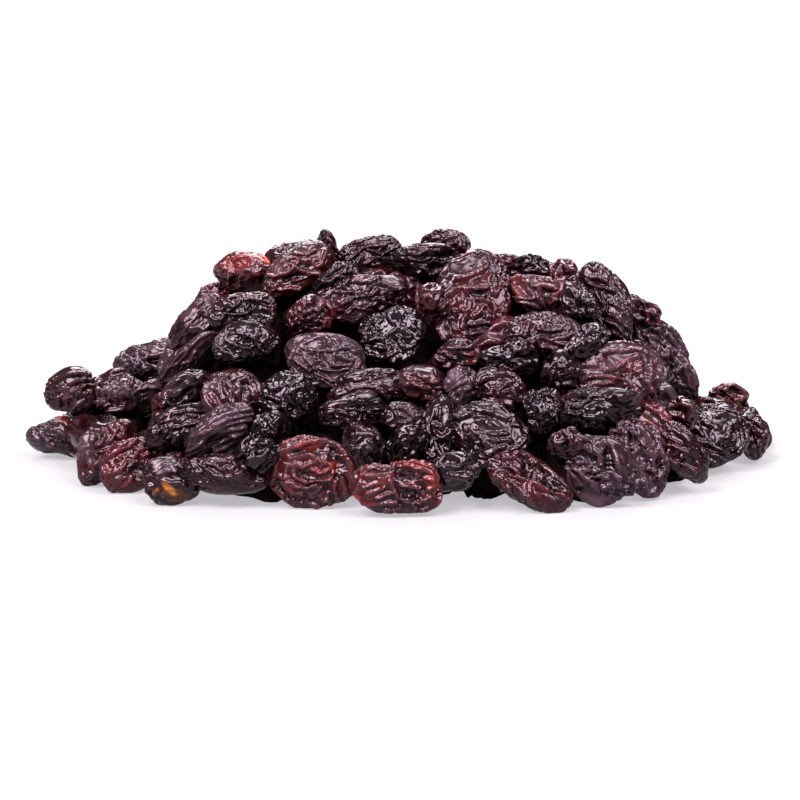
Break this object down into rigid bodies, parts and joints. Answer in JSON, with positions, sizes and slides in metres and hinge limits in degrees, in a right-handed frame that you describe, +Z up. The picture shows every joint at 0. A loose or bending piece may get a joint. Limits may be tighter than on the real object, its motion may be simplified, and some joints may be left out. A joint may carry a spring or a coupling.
{
  "type": "loose heap of black seedless raisins",
  "caption": "Low loose heap of black seedless raisins lying on a flat base, one fused solid with every raisin at its real size round an uneven outline",
  "frame": {"origin": "on the table, under the middle of the heap's box", "axes": "+X to the right as seen from the front, along the heap; +Y away from the viewer; +Z up from the table"},
  "size_m": [0.143, 0.0968, 0.0439],
  "materials": {
    "raisin_skin": null
  },
  "bodies": {
    "root": {"raisin_heap": "raisin_skin"}
  },
  "joints": []
}
